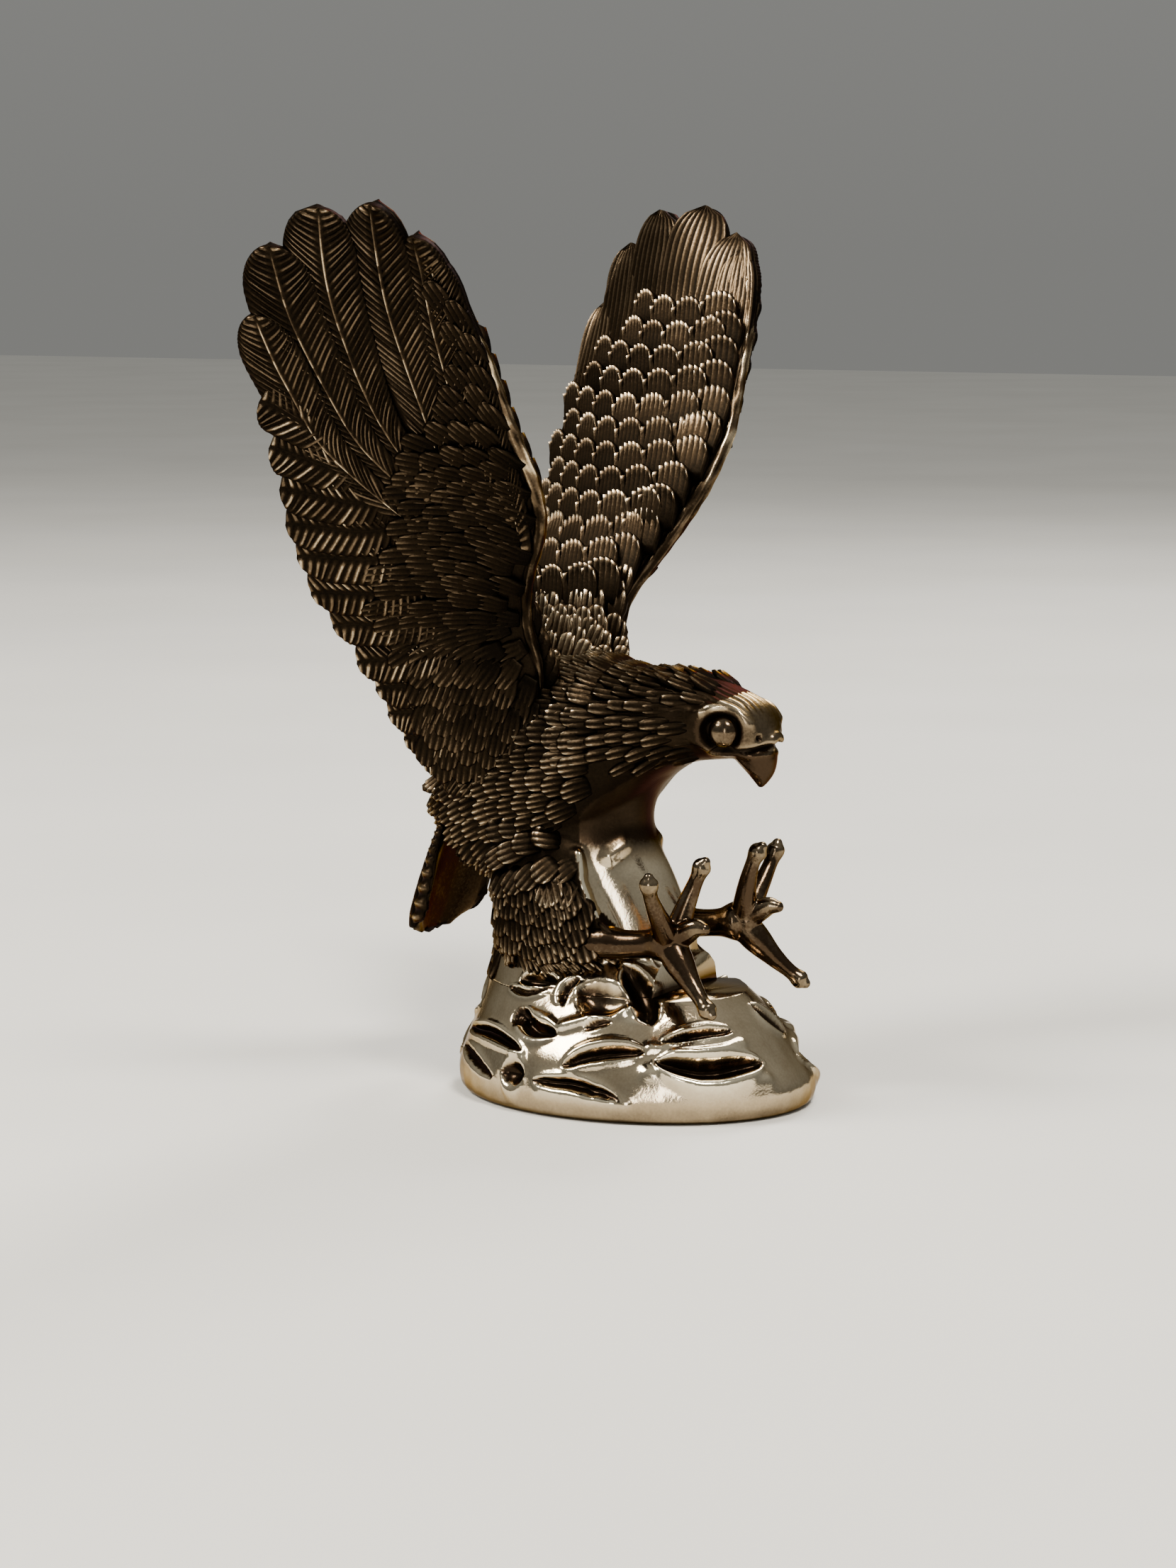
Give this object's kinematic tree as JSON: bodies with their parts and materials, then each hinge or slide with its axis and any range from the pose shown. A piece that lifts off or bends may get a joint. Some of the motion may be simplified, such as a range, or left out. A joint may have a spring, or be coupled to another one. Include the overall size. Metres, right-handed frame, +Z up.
{
  "type": "eagle statuette",
  "caption": "Cast bronze eagle statuette with raised wings and open talons, standing on a hollow polished rock mound with a felt pad underneath.",
  "frame": {"origin": "middle of the felt pad's flat underside, at the level of the table", "axes": "+Z up, the bird faces -Y, its left wing is on +X, and x = 0 is its middle plane"},
  "size_m": [0.096, 0.0639, 0.1269],
  "materials": {
    "antique_bronze": "cast bronze with a near-black patina in the recesses and rubbed, pale bronze ridges",
    "polished_bronze": "smooth, brightly polished pale bronze with dark patina left in the gouges",
    "dark_bronze": "smooth, glossy dark bronze with rubbed toe tips",
    "bead_bronze": "smooth, glossy bronze bead",
    "felt": "short-pile wool felt",
    "steel": "turned steel"
  },
  "bodies": {
    "root": {"base_shell": "polished_bronze", "felt_pad": "felt", "base_screw": "steel", "base_washer": "steel", "base_dowel": "steel", "body": "antique_bronze", "neck_pin": "steel", "head": "antique_bronze", "right_eye": "bead_bronze", "left_eye": "bead_bronze", "right_wing": "antique_bronze", "left_wing": "antique_bronze", "right_wing_pin": "steel", "left_wing_pin": "steel", "tail": "antique_bronze", "tail_pin": "steel", "right_foot": "dark_bronze", "left_foot": "dark_bronze"}
  },
  "joints": []
}
